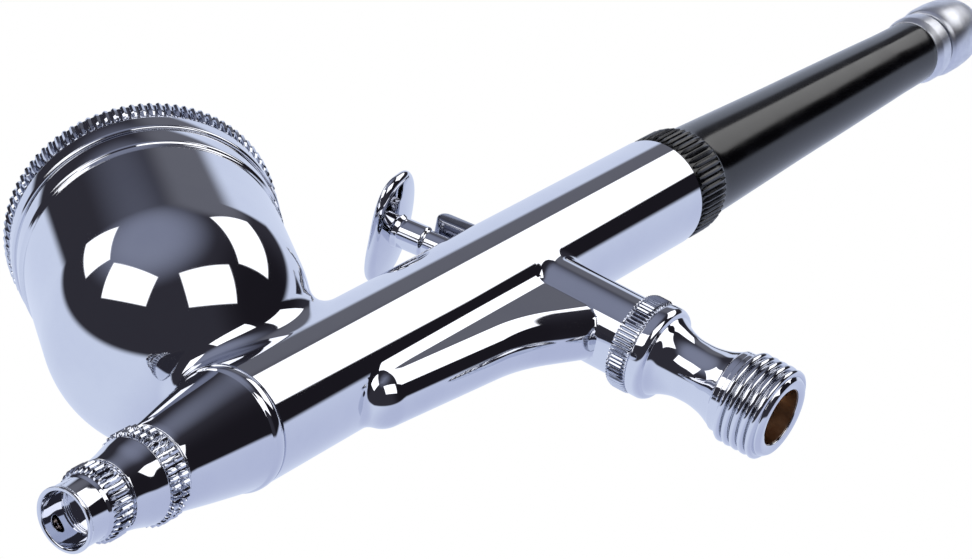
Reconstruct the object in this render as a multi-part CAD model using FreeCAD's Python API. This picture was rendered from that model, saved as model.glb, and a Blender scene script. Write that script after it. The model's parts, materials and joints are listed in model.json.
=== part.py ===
import FreeCAD
import Part

import math
import os

# Dual-action gravity-feed airbrush. Millimetres, +Z up.
# Origin: centre of the air inlet's open end. +Z runs up the valve axis, +X runs back towards the handle
# along the barrel axis, and the nozzle points to -X.

V = FreeCAD.Vector

# ---- driving dimensions -------------------------------------------------------------------------------
AXIS_Z = 32.8            # height of the barrel axis above the inlet's end
BARREL_R = 6.0
BARREL_FRONT = -43.4
BARREL_REAR = 27.4
CHAMBER_R = 4.2          # trigger and spring chamber inside the barrel
CHAMBER_FRONT = -12.0
PAINT_BORE_R = 2.0
SOCKET_R = 4.6           # front socket for the spray head
SOCKET_END = -38.0
SLOT_W = 4.6             # slot in the top of the barrel
SLOT_X = (-13.5, 12.2)

NEEDLE_R = 0.6
NEEDLE_TIP = -62.7
NEEDLE_REAR = 64.0

CUP_FOOT_X = -45.35      # where the cup's axis crosses the barrel's axis
CUP_LEAN = math.degrees(math.atan(0.762))
CUP_R = 12.85
CUP_CENTRE = 19.1        # centre of the round bottom, along the cup's axis
CUP_RIM = 32.3
CUP_WALL = 0.6

BOSS_R = 4.23
BOSS_END = 17.6          # height of the boss's lower face
INLET_THREAD_R = 4.864   # G1/8 male thread, major radius
INLET_THREAD_LEN = 5.2
INLET_BORE_R = 3.0
INLET_BORE_LEN = 5.5

PIVOT_Z = AXIS_Z - 4.2   # trigger's pin
TRIGGER_LEAN = 8.5       # degrees forward at rest
TRIGGER_TOP = AXIS_Z + 12.4  # underside of the finger plate, on the stem
PLATE_HALF = (3.9, 6.2)  # along X and Y
PLATE_THICK = 1.1

# Air bridge under the barrel: front, knee and rear of its centre line, and of the air way inside it.
BRIDGE_R = 3.0
BRIDGE = ((-28.6, AXIS_Z - 5.6), (-10.2, AXIS_Z - 7.4), (0.0, AXIS_Z - 12.1))
AIR_WAY_R = 1.1
AIR_WAY = ((-29.0, AXIS_Z - 6.5), (-10.2, AXIS_Z - 8.3), (0.0, AXIS_Z - 13.0))
BRIDGE_BEND_R = 23.0

DRAIN_X = (-36.0, -31.5)  # slot that lets paint down from the cup to the needle
DRAIN_R = 1.6
LEVER_PIN = (5.2, AXIS_Z - 1.9)
PIN_R = 0.45
HEAD_RING_R = 6.1
LID_KNURL = 96           # ridges round each knurled band
CAP_KNURL = 38
CROWN_KNURL = 34
COLLAR_KNURL = 54
FLANGE_KNURL = 72

GAP = 0.05               # radial running clearance
FINE = 0.03


# ---- helpers ------------------------------------------------------------------------------------------
def save(name, shape):
    """Write one sub-part."""
    shape = shape.removeSplitter()
    if not shape.isValid():
        raise ValueError(name + " is not a valid solid")
    shape.exportStep("parts/" + name + ".step")
    print(name, len(shape.Solids), round(shape.Volume, 2))


def closed_face(points):
    """Flat face with straight sides through the points."""
    return Part.Face(Part.makePolygon(points + [points[0]]))


def lathe_x(profile):
    """Turn an outline of (x, radius) about the barrel's axis."""
    face = closed_face([V(x, 0, AXIS_Z + r) for x, r in profile])
    return face.revolve(V(0, 0, AXIS_Z), V(1, 0, 0), 360)


def lathe_z(profile):
    """Turn an outline of (radius, z) about the valve's axis."""
    face = closed_face([V(r, 0, z) for r, z in profile])
    return face.revolve(V(0, 0, 0), V(0, 0, 1), 360)


def solid_x(stations):
    """Turned solid from (x, radius) stations, closed on the barrel's axis."""
    return lathe_x([(stations[0][0], 0)] + stations + [(stations[-1][0], 0)])


def solid_z(stations):
    """Turned solid from (radius, z) stations, closed on the valve's axis."""
    return lathe_z([(0, stations[0][1])] + stations + [(0, stations[-1][1])])


def rod_x(x0, x1, radius, y=0.0, z=AXIS_Z):
    """Cylinder along X."""
    return Part.makeCylinder(radius, x1 - x0, V(x0, y, z), V(1, 0, 0))


def rod_y(x, z, half, radius):
    """Cylinder along Y, centred on y = 0."""
    return Part.makeCylinder(radius, 2 * half, V(x, -half, z), V(0, 1, 0))


def rod_z(z0, z1, radius, x=0.0, y=0.0):
    """Cylinder along Z."""
    return Part.makeCylinder(radius, z1 - z0, V(x, y, z0), V(0, 0, 1))


def box(x0, x1, y0, y1, z0, z1):
    """Block between two corners."""
    return Part.makeBox(x1 - x0, y1 - y0, z1 - z0, V(x0, y0, z0))


def fuse(*shapes):
    """Union of all the shapes."""
    return shapes[0].multiFuse(list(shapes[1:]))


def cut(shape, *tools):
    """Shape with every tool taken away."""
    return shape.cut(Part.makeCompound(list(tools)) if len(tools) == 1 else fuse(*tools))


def ridges(axis_point, axis, start, length, inner, outer, count):
    """Straight knurl: triangular ridges along a turned band."""
    half = math.pi / count
    tips = []
    for i in range(count):
        turn = 2 * half * i
        tips.append(V(outer * math.cos(turn), outer * math.sin(turn), 0))
        tips.append(V(inner * math.cos(turn + half), inner * math.sin(turn + half), 0))
    prism = closed_face(tips).extrude(V(0, 0, length))
    prism.Placement = FreeCAD.Placement(axis_point + axis * start, FreeCAD.Rotation(V(0, 0, 1), axis))
    return prism


def lean(shape, pivot, degrees):
    """Tip a shape forward, towards the nozzle, about a line along Y."""
    shape.rotate(pivot, V(0, 1, 0), -degrees)
    return shape


AXIS_POINT = V(0, 0, AXIS_Z)
FORE_AFT = V(1, 0, 0)
UP = V(0, 0, 1)


# ---- barrel, boss and air bridge ----------------------------------------------------------------------
def bent_path(points):
    """Centre line through (x, z) of a front, a knee and a rear: two runs with one tangent bend."""
    front, knee, rear = [V(x, 0, z) for x, z in points]
    forward = (front - knee).normalize()
    back = (rear - knee).normalize()
    half_turn = (math.pi - forward.getAngle(back)) / 2
    trim = BRIDGE_BEND_R * math.tan(half_turn)
    start = knee + forward * trim
    end = knee + back * trim
    middle_way = (forward + back).normalize()
    middle = knee + middle_way * (BRIDGE_BEND_R / math.cos(half_turn) - BRIDGE_BEND_R)
    edges = [Part.makeLine(front, start), Part.Arc(start, middle, end).toShape(), Part.makeLine(end, rear)]
    return Part.Wire(edges)


def tube_along(path, radius):
    """Round bar along a wire."""
    start = path.Edges[0].Vertexes[0].Point
    way = path.Edges[0].tangentAt(path.Edges[0].FirstParameter)
    ring = Part.Wire(Part.makeCircle(radius, start, way))
    return path.makePipeShell([ring], True, False)


def bridge_web():
    """Plate that fills the space between the air tube and the barrel."""
    corners = [(BRIDGE[0][0], AXIS_Z), *BRIDGE, (BRIDGE[2][0], AXIS_Z)]
    outline = closed_face([V(x, -BRIDGE_R, z) for x, z in corners])
    return outline.extrude(V(0, 2 * BRIDGE_R, 0))


def drain():
    """Slot from the cup's floor down to the paint bore."""
    ends = [rod_z(AXIS_Z, AXIS_Z + 9, DRAIN_R, x) for x in DRAIN_X]
    return fuse(box(DRAIN_X[0], DRAIN_X[1], -DRAIN_R, DRAIN_R, AXIS_Z, AXIS_Z + 9), *ends)


def main_body():
    """Barrel tube with the trigger slot, the valve boss and the air bridge brazed to it."""
    nose_x, nose_z = BRIDGE[0]
    nose = Part.makeSphere(BRIDGE_R, V(nose_x, 0, nose_z))
    nose_top = rod_z(nose_z, AXIS_Z, BRIDGE_R, nose_x)
    body = fuse(rod_x(BARREL_FRONT, BARREL_REAR, BARREL_R), rod_z(BOSS_END, AXIS_Z, BOSS_R),
                tube_along(bent_path(BRIDGE), BRIDGE_R), nose, nose_top, bridge_web())
    slot = box(SLOT_X[0], SLOT_X[1], -SLOT_W / 2, SLOT_W / 2, AXIS_Z + 1.0, AXIS_Z + 8)
    air_x, air_z = AIR_WAY[0]
    air_line = rod_x(SOCKET_END - 0.2, air_x + 0.4, 0.8, 0, AXIS_Z - 3.3)
    riser = rod_z(air_z - 0.4, AXIS_Z - 3.3, 0.8, air_x - 0.4)
    return cut(body,
               rod_x(BARREL_FRONT - 1, SOCKET_END, SOCKET_R),
               rod_x(SOCKET_END - 1, CHAMBER_FRONT + 1, PAINT_BORE_R),
               rod_x(CHAMBER_FRONT, BARREL_REAR + 1, CHAMBER_R),
               slot, drain(), air_line, riser,
               tube_along(bent_path(AIR_WAY), AIR_WAY_R),
               rod_z(BOSS_END - 1, AXIS_Z - 11.6, 3.4),
               rod_z(AXIS_Z - 12, AXIS_Z, 2.4))


# ---- cup and lid --------------------------------------------------------------------------------------
def on_cup_axis(shape):
    """Move a shape turned about Z onto the leaning axis of the cup."""
    tilt = FreeCAD.Rotation(V(0, 1, 0), CUP_LEAN)
    shape.Placement = FreeCAD.Placement(V(CUP_FOOT_X, 0, AXIS_Z), tilt)
    return shape


def bowl(radius, top):
    """Round-bottomed cylinder."""
    ball = Part.makeSphere(radius, V(0, 0, CUP_CENTRE))
    return fuse(ball, rod_z(CUP_CENTRE, top, radius))


def paint_cup():
    """Round-bottomed cup, brazed on the barrel on a short saddle."""
    inner_r = CUP_R - CUP_WALL
    rim_r = 13.15
    shell = fuse(bowl(CUP_R, CUP_RIM), solid_z([(CUP_R, 28.6), (rim_r, 29.9), (rim_r, CUP_RIM)]))
    saddle = on_cup_axis(Part.makeCone(6.4, 5.2, 6.0, V(0, 0, 2.6)))
    saddle = saddle.common(box(BARREL_FRONT + 0.2, 0, -10, 10, AXIS_Z, AXIS_Z + 20))
    hollow = on_cup_axis(bowl(inner_r, CUP_RIM + 5))
    cup = cut(fuse(on_cup_axis(shell), saddle), hollow)
    clear_of_head = rod_x(-70, BARREL_FRONT - 0.001, HEAD_RING_R + 0.3)
    below = box(-60, 0, -20, 20, AXIS_Z - 20, AXIS_Z + 1.0)
    return cut(cup, rod_x(-60, 0, BARREL_R), clear_of_head, below, drain())


def cup_lid():
    """Push-on lid with a knurled edge and a vent hole."""
    edge_r, plug_r, base, top = 13.4, CUP_R - CUP_WALL - 0.15, CUP_RIM + 0.1, 37.4
    cap = fuse(solid_z([(edge_r, base), (edge_r, 34.4), (13.2, 34.4), (13.2, top), (12.6, top + 0.4),
                        (8.0, top + 1.2), (3.0, top + 1.6)]),
               ridges(V(0, 0, 0), UP, 34.6, top - 34.6, 13.2, 13.65, LID_KNURL),
               rod_z(base - 3.0, base, plug_r))
    hollow = solid_z([(plug_r - 0.8, base - 4), (plug_r - 0.8, top - 0.6), (7.0, top + 0.4)])
    return on_cup_axis(cut(cap, hollow, rod_z(base, top + 4, 0.6)))


# ---- spray end ----------------------------------------------------------------------------------------
def spray_head():
    """Cone that carries the fluid nozzle, with four air holes round the paint way."""
    shape = solid_x([(-57.0, 3.0), (-54.2, 3.0), (-54.2, 4.2), (-51.8, 4.7), (-49.5, 5.2), (-47.0, 5.6),
                     (-45.0, 5.9), (-44.6, HEAD_RING_R), (BARREL_FRONT, HEAD_RING_R),
                     (BARREL_FRONT, SOCKET_R), (SOCKET_END - 0.7, SOCKET_R)])
    holes = []
    for turn in (45, 135, 225, 315):
        angle = math.radians(turn)
        holes.append(rod_x(-58, SOCKET_END, 0.45, 2.35 * math.cos(angle), AXIS_Z + 2.35 * math.sin(angle)))
    return cut(shape, rod_x(-58, SOCKET_END, 1.0), rod_x(-58, -53.0, 1.5), *holes)


def nozzle_cap():
    """Air cap round the fluid nozzle."""
    shape = fuse(solid_x([(-62.8, 2.4), (-60.35, 2.4), (-60.35, 3.4), (-58.9, 3.66), (-57.8, 3.95),
                          (-56.8, 4.2), (-54.25, 4.2)]),
                 ridges(AXIS_POINT, FORE_AFT, -56.7, 2.2, 4.15, 4.5, CAP_KNURL))
    hollow = solid_x([(-61.6, 0.75), (-58.6, 2.6), (-57.6, 3.0), (-54.2, 3.0)])
    return cut(shape, hollow, rod_x(-64, -61, 0.75))


def needle_cap():
    """Open crown that guards the needle's tip."""
    shape = fuse(solid_x([(-65.9, 3.05), (-65.5, 2.95), (-63.5, 2.95), (-63.2, 3.2), (-60.4, 3.2)]),
                 ridges(AXIS_POINT, FORE_AFT, -62.8, 2.2, 3.15, 3.55, CROWN_KNURL))
    return cut(shape, rod_x(-67, -63.0, 2.65), rod_x(-64, -60, 2.4))


def fluid_nozzle():
    """Fine tapered nozzle that the needle seals in."""
    shape = solid_x([(-62.0, 0.45), (-58.0, 1.3), (-58.0, 1.85), (-57.0, 1.85), (-57.0, 1.5), (-53.4, 1.5)])
    return cut(shape, solid_x([(-62.5, 0.2), (-62.0, 0.2), (-54.0, 0.8), (-53.0, 0.8)]))


def ring_x(x0, x1, inner, outer):
    """Plain washer about the barrel's axis."""
    return cut(rod_x(x0, x1, outer), rod_x(x0 - 1, x1 + 1, inner))


def ring_z(z0, z1, inner, outer):
    """Plain washer about the valve's axis."""
    return cut(rod_z(z0, z1, outer), rod_z(z0 - 1, z1 + 1, inner))


def packing_screw():
    """Hollow slotted screw that squeezes the needle packing."""
    body = ring_x(-21.0, -15.0, NEEDLE_R + 0.3, PAINT_BORE_R)
    return cut(body, box(-15.8, -14.0, -0.4, 0.4, AXIS_Z - 3, AXIS_Z + 3))


# ---- trigger and needle works -------------------------------------------------------------------------
def finger_plate(centre_z):
    """Shallow dished finger plate with a rounded oblong outline."""
    steps = 8
    rows = []
    for i in range(steps + 1):
        x = PLATE_HALF[0] * 1.15 * (2 * i / steps - 1)
        across = [PLATE_HALF[1] * 1.15 * (2 * j / steps - 1) for j in range(steps + 1)]
        rows.append([V(x, y, centre_z + x * x / 25.0 + y * y / 60.0) for y in across])
    sheet = Part.BSplineSurface()
    sheet.interpolate(rows)
    slab = sheet.toShape().extrude(V(0, 0, PLATE_THICK))
    return slab.common(oblong(PLATE_HALF, 2.6).extrude(V(0, 0, 10)).translated(V(0, 0, centre_z - 5)))


def oblong(half, power, count=40):
    """Flat face with a smooth edge between an oval and a rectangle."""
    points = []
    for i in range(count):
        turn = 2 * math.pi * i / count
        c, s = math.cos(turn), math.sin(turn)
        points.append(V(half[0] * math.copysign(abs(c) ** (2 / power), c),
                        half[1] * math.copysign(abs(s) ** (2 / power), s), 0))
    edge = Part.BSplineCurve()
    edge.interpolate(points, PeriodicFlag=True)
    return Part.Face(Part.Wire(edge.toShape()))


def trigger():
    """Finger lever: saddle plate on a round stem, forked round the needle, with a pinned tang."""
    plate = finger_plate(TRIGGER_TOP)
    stem = solid_z([(1.35, AXIS_Z + 5.0), (1.35, AXIS_Z + 9.2), (1.6, AXIS_Z + 9.6),
                    (1.6, TRIGGER_TOP + 0.4)])
    block = box(-1.3, 1.3, -1.9, 1.9, PIVOT_Z + 2.9, AXIS_Z + 5.4)
    tang = fuse(box(-1.1, 1.1, -0.8, 0.8, PIVOT_Z, PIVOT_Z + 3.6), rod_y(0, PIVOT_Z, 0.8, 1.1))
    window = box(-3, 3, -1.0, 1.0, PIVOT_Z + 3.15, AXIS_Z + 4.0)
    lever = cut(fuse(plate, stem, block, tang), window)
    lever = lean(lever, V(0, 0, PIVOT_Z), TRIGGER_LEAN)
    return cut(lever, rod_y(0, PIVOT_Z, 2, 0.5 + FINE))


def air_plunger():
    """Valve rod with a forked head that the trigger is pinned in."""
    head = rod_z(AXIS_Z - 7.0, PIVOT_Z + 1.1, 1.95)
    fork = box(-3, 3, -0.9, 0.9, PIVOT_Z - 1.4, PIVOT_Z + 3)
    body = fuse(cut(head, fork), rod_z(10.0, AXIS_Z - 6.8, 0.75))
    return cut(body, rod_y(0, PIVOT_Z, 3, 0.5))


def auxiliary_lever():
    """Rounded lever behind the trigger that pushes the needle back."""
    pin_x, foot_z = LEVER_PIN
    bar = box(1.75, 3.75, -1.9, 1.9, foot_z - 1.0, AXIS_Z + 9.6)
    nose = rod_y(2.75, AXIS_Z + 9.6, 1.9, 1.0)
    arm = box(3.0, pin_x, -1.9, 1.9, foot_z - 1.0, foot_z + 1.0)
    eye = rod_y(pin_x, foot_z, 1.9, 1.0)
    window = box(0, 8, -1.0, 1.0, foot_z - 1.2, AXIS_Z + 4.2)
    lever = cut(fuse(bar, nose, arm, eye), window)
    lever = lean(lever, V(pin_x, 0, foot_z), TRIGGER_LEAN)
    return cut(lever, rod_y(pin_x, foot_z, 3, PIN_R + FINE))


def needle_guide():
    """Tube carriage for the needle: fork for the lever, flange for the spring, split chuck at the rear."""
    fork = cut(rod_x(6.4, 9.4, 3.95), box(6.0, 8.0, -2.2, 2.2, AXIS_Z - 5, AXIS_Z + 5))
    ears = fuse(box(4.2, 6.5, 2.15, 2.95, AXIS_Z - 2.8, AXIS_Z - 0.9),
                box(4.2, 6.5, -2.95, -2.15, AXIS_Z - 2.8, AXIS_Z - 0.9))
    tube = rod_x(8.0, 52.0, 1.7)
    body = fuse(fork, ears, tube)
    return cut(body, rod_x(5, 60, NEEDLE_R + GAP), rod_y(LEVER_PIN[0], LEVER_PIN[1], 4, PIN_R),
               box(44.0, 53, -0.2, 0.2, AXIS_Z - 3, AXIS_Z + 3))


def needle():
    """Long tapered needle."""
    return solid_x([(NEEDLE_TIP, 0.05), (-53.0, NEEDLE_R), (NEEDLE_REAR - 0.3, NEEDLE_R),
                    (NEEDLE_REAR, 0.4)])


def coil(radius, wire, length, pitch):
    """Open helical spring along Z from z = 0."""
    path = Part.makeHelix(pitch, length, radius)
    ring = Part.Wire(Part.makeCircle(wire, V(radius, 0, 0), V(0, 1, 0)))
    return Part.Wire(path).makePipeShell([ring], True, True)


def needle_spring():
    """Return spring between the guide's flange and the spring case."""
    spring = coil(2.6, 0.3, 27.4, 2.74)
    spring.Placement = FreeCAD.Placement(V(9.8, 0, AXIS_Z), FreeCAD.Rotation(V(0, 0, 1), FORE_AFT))
    return spring


def spring_case():
    """Tube screwed in the rear of the barrel."""
    case = fuse(rod_x(16.0, 40.0, 3.6), rod_x(17.5, 22.5, CHAMBER_R))
    return cut(case, rod_x(15, 38.0, 3.2), rod_x(37, 41, 1.7 + GAP))


def chuck_nut():
    """Knurled nut that grips the needle."""
    shape = fuse(rod_x(46.0, 54.0, 2.6), ridges(AXIS_POINT, FORE_AFT, 48.5, 5.0, 2.55, 2.85, 24))
    return cut(shape, rod_x(45, 52.0, 1.7), rod_x(51, 55, NEEDLE_R))


# ---- handle -------------------------------------------------------------------------------------------
def handle():
    """Tapered handle with a knurled collar, screwed on the barrel."""
    outside = [(23.5, CHAMBER_R), (BARREL_REAR, CHAMBER_R), (BARREL_REAR, 5.6), (28.1, 5.75), (33.0, 5.75),
               (33.5, 5.3), (34.3, 5.26), (40.0, 5.1), (54.0, 4.65), (63.0, 4.43), (75.0, 4.1), (80.0, 3.95),
               (86.0, 3.85)]
    shape = fuse(solid_x(outside), ridges(AXIS_POINT, FORE_AFT, 28.3, 4.5, 5.7, 5.98, COLLAR_KNURL))
    return cut(shape, rod_x(23, 42.0, 3.6 + GAP), rod_x(41, 64.0, 3.3), rod_x(63, 72.0, 2.9),
               rod_x(71, 87, 2.6))


def handle_bush():
    """Chromed end bush that the preset screw turns in."""
    shape = solid_x([(78.0, 2.6), (86.0, 2.6), (86.0, 3.9), (87.2, 4.2), (89.0, 4.2), (89.5, 3.9)])
    return cut(shape, rod_x(77, 91, 1.2 + GAP))


def preset_knob():
    """Domed end knob."""
    return cut(solid_x([(90.0, 3.9), (90.4, 4.2), (91.5, 4.45), (93.5, 4.45), (95.7, 4.1), (97.8, 3.4),
                        (99.2, 2.6), (100.0, 1.7), (100.3, 0.8)]),
               rod_x(89, 96.0, 1.2))


# ---- valve --------------------------------------------------------------------------------------------
def valve_body():
    """Air valve: threaded spigot, knurled flange, waisted neck and threaded inlet."""
    thread_top = INLET_THREAD_LEN + 0.1
    shape = solid_z([(INLET_THREAD_R - 0.7, 0), (INLET_THREAD_R, 0.6), (INLET_THREAD_R, thread_top),
                     (4.25, thread_top), (4.25, 6.0), (3.95, 6.5), (3.5, 7.4), (3.17, 8.9),
                     (3.1, 10.1), (3.2, 11.4), (3.66, 12.8), (4.15, 13.6), (4.75, 13.9), (4.9, 14.3),
                     (4.9, 15.2), (4.75, 15.45), (4.75, BOSS_END), (3.4, BOSS_END), (3.4, AXIS_Z - 11.8)])
    knurl = ridges(V(0, 0, 0), UP, 15.5, 2.05, 4.7, 5.02, FLANGE_KNURL)
    groove = ring_z(AXIS_Z - 14.8, AXIS_Z - 14.0, 2.8, 3.6)
    air_ring = ring_z(AXIS_Z - 13.7, AXIS_Z - 12.4, 3.0, 3.6)
    port = rod_x(-4, 4, 0.6, 0, AXIS_Z - 13.05)
    return cut(fuse(shape, knurl), groove, air_ring, port,
               rod_z(-1, INLET_BORE_LEN, INLET_BORE_R),
               rod_z(5, 12.0, 2.2),
               rod_z(11, 15, 1.2),
               rod_z(14.0, 30, 2.3))


def valve_retainer():
    """Slotted brass screw that holds the valve spring."""
    body = ring_z(3.3, INLET_BORE_LEN, 1.25, INLET_BORE_R)
    return cut(body, box(-4, 4, -0.4, 0.4, 3.0, 3.9))


def valve_spring():
    """Spring under the valve seal."""
    spring = coil(1.6, 0.25, 4.2, 1.05)
    spring.translate(V(0, 0, 5.85))
    return spring


def o_ring(radius, wire, z):
    """Round rubber ring about the valve's axis."""
    return Part.makeTorus(radius, wire, V(0, 0, z), UP)


def write_parts():
    """Build every sub-part and write it."""
    os.makedirs("parts", exist_ok=True)
    save("main_body", main_body())
    save("paint_cup", paint_cup())
    save("cup_lid", cup_lid())
    save("spray_head", spray_head())
    save("head_seal", ring_x(SOCKET_END - 0.7, SOCKET_END, 1.2, 2.0))
    save("nozzle_cap", nozzle_cap())
    save("needle_cap", needle_cap())
    save("fluid_nozzle", fluid_nozzle())
    save("nozzle_seal", ring_x(-53.4, -53.0, 0.9, 1.5))
    save("needle_packing", ring_x(-24.0, -21.0, NEEDLE_R + FINE, PAINT_BORE_R))
    save("packing_screw", packing_screw())
    save("trigger", trigger())
    save("trigger_pin", rod_y(0, PIVOT_Z, 1.8, 0.5))
    save("air_plunger", air_plunger())
    save("plunger_packing", ring_z(AXIS_Z - 11.6, AXIS_Z - 10.9, 0.75 + FINE, 2.4))
    save("plunger_guide", ring_z(AXIS_Z - 10.9, AXIS_Z - 9.4, 0.75 + GAP, 2.4))
    save("auxiliary_lever", auxiliary_lever())
    save("lever_pin", rod_y(LEVER_PIN[0], LEVER_PIN[1], 2.9, PIN_R))
    save("needle_guide", needle_guide())
    save("needle", needle())
    save("needle_spring", needle_spring())
    save("spring_case", spring_case())
    save("chuck_nut", chuck_nut())
    save("handle", handle())
    save("handle_bush", handle_bush())
    save("preset_rod", rod_x(69.3, 96.0, 1.2))
    save("preset_knob", preset_knob())
    save("valve_body", valve_body())
    save("valve_body_seal", o_ring(3.08, 0.27, AXIS_Z - 14.4))
    save("valve_seal", ring_z(10.7, 11.9, 0.75, 1.9))
    save("valve_spring", valve_spring())
    save("valve_retainer", valve_retainer())


write_parts()
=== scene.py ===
"""Looks of a dual-action, gravity-feed airbrush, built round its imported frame."""

import json
import logging
import math
from collections.abc import Callable, Mapping, Sequence
from dataclasses import dataclass
from enum import Enum

import bmesh
import bpy
import numpy as np
from mathutils import Matrix, Vector


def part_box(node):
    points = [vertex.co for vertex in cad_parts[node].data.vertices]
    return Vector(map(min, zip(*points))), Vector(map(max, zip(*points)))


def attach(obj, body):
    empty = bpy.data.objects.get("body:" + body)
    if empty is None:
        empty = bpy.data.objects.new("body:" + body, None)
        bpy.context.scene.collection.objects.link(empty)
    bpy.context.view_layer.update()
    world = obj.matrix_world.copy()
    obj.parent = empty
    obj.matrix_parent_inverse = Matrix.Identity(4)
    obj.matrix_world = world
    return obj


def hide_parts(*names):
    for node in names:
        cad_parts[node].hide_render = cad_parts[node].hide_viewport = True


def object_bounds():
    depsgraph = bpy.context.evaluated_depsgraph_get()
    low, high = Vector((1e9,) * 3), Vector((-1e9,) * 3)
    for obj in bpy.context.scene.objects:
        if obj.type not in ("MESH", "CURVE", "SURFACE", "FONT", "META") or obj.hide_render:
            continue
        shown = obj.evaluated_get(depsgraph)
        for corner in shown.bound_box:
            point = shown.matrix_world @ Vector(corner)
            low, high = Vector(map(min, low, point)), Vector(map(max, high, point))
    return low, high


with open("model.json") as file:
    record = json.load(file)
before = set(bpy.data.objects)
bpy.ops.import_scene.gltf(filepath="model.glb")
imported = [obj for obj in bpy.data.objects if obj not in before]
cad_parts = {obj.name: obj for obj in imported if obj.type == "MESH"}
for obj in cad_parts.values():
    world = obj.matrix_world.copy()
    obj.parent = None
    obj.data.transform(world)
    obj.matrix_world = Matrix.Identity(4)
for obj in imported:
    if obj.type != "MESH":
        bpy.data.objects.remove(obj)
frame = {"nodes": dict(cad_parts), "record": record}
CAD_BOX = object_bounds()
LOG = logging.getLogger("airbrush")

# Shapes are worked out in millimetres in the frame's own axes. Each is scaled to metres once it is finished.
MM = 0.001
AXIS_Z = (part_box("handle")[0].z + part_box("handle")[1].z) / 2 / MM
TURNED_STEPS = 144
BARREL_FRONT = -43.4
BARREL_REAR = 27.4
CUP_RIM = 32.3

Point = tuple[float, float]
Field = Callable[[np.ndarray], np.ndarray]
Tone = bpy.types.NodeSocket | tuple[float, float, float, float]

BARREL_AXIS = Matrix.Translation((0, 0, AXIS_Z)) @ Matrix.Rotation(math.pi / 2, 4, "Y")
CUP_LEAN = math.atan(0.762)
CUP_AXIS = Matrix.Translation((-45.35, 0, AXIS_Z)) @ Matrix.Rotation(CUP_LEAN, 4, "Y")
TRIGGER_PIVOT = Vector((0, 0, AXIS_Z - 4.2))
LEVER_PIVOT = Vector((5.2, 0, AXIS_Z - 1.9))
REST_LEAN = math.radians(-8.5)


# ---- colours and node trees ---------------------------------------------------------------------------
def linear(colour: str) -> tuple[float, float, float, float]:
    """Turn an sRGB hex colour into linear light.

    Args:
        colour: Six hex digits, with a leading hash.

    Returns:
        Red, green, blue and an alpha of one.
    """
    parts = [int(colour[i:i + 2], 16) / 255 for i in (1, 3, 5)]
    light = [c / 12.92 if c <= 0.04045 else ((c + 0.055) / 1.055) ** 2.4 for c in parts]
    return (*light, 1.0)


def add_node(tree: bpy.types.NodeTree, kind: str, inputs: Mapping | None = None,
             **settings: object) -> bpy.types.Node:
    """Add one node to a tree.

    Args:
        tree: Tree that the node joins.
        kind: Blender's name of the node's type.
        inputs: Socket name or number to a value, or to the output socket that feeds it.
        settings: The node's own properties.

    Returns:
        The new node.
    """
    node = tree.nodes.new(kind)
    for name, value in settings.items():
        setattr(node, name, value)
    for name, value in (inputs or {}).items():
        if isinstance(value, bpy.types.NodeSocket):
            tree.links.new(value, node.inputs[name])
        else:
            node.inputs[name].default_value = value
    return node


def two_tone(tree: bpy.types.NodeTree, factor: bpy.types.NodeSocket, first: str,
             second: str) -> bpy.types.NodeSocket:
    """Blend two close colours by a factor.

    Args:
        tree: Tree that the blend joins.
        factor: Socket with a value from 0 to 1.
        first: Hex colour at the low end.
        second: Hex colour at the high end.

    Returns:
        The blended colour's socket.
    """
    ramp = add_node(tree, "ShaderNodeValToRGB", {"Fac": factor})
    for element, place, colour in zip(ramp.color_ramp.elements, (0.35, 0.7), (first, second)):
        element.position = place
        element.color = linear(colour)
    return ramp.outputs["Color"]


# ---- finishes -----------------------------------------------------------------------------------------
@dataclass(frozen=True)
class Metal:
    """Bare or plated metal, named for its common name and how its surface was made."""

    name: str
    colour: str
    tint: str
    roughness: float
    haze: float
    patch_mm: float = 6.0
    scratch_mm: float = 0.25
    scratch_depth_mm: float = 0.0

    def material(self) -> bpy.types.Material:
        """Build the metal's material: a polish that is hazier in soft patches, with fine scratches.

        Returns:
            The material.
        """
        made = bpy.data.materials.new(self.name)
        made.use_nodes = True
        tree = made.node_tree
        shader = tree.nodes["Principled BSDF"]
        shader.inputs["Metallic"].default_value = 1.0
        place = add_node(tree, "ShaderNodeTexCoord").outputs["Object"]
        patches = add_node(tree, "ShaderNodeTexNoise", {"Vector": place, "Scale": 1 / (self.patch_mm * MM),
                                                        "Detail": 3.0, "Roughness": 0.6})
        gloss = add_node(tree, "ShaderNodeMapRange", {"Value": patches.outputs["Fac"], "From Min": 0.4,
                                                      "From Max": 0.75, "To Min": self.roughness,
                                                      "To Max": self.roughness + self.haze})
        tree.links.new(gloss.outputs["Result"], shader.inputs["Roughness"])
        tone = two_tone(tree, patches.outputs["Fac"], self.colour, self.tint)
        tree.links.new(tone, shader.inputs["Base Color"])
        if self.scratch_depth_mm:
            scale = 1 / (self.scratch_mm * MM)
            lines = add_node(tree, "ShaderNodeTexNoise", {"Vector": place, "Scale": scale, "Detail": 1.0,
                                                          "Distortion": 0.5})
            bump = add_node(tree, "ShaderNodeBump", {"Height": lines.outputs["Fac"], "Strength": 1.0,
                                                     "Distance": self.scratch_depth_mm * MM})
            tree.links.new(bump.outputs["Normal"], shader.inputs["Normal"])
        return made


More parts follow.
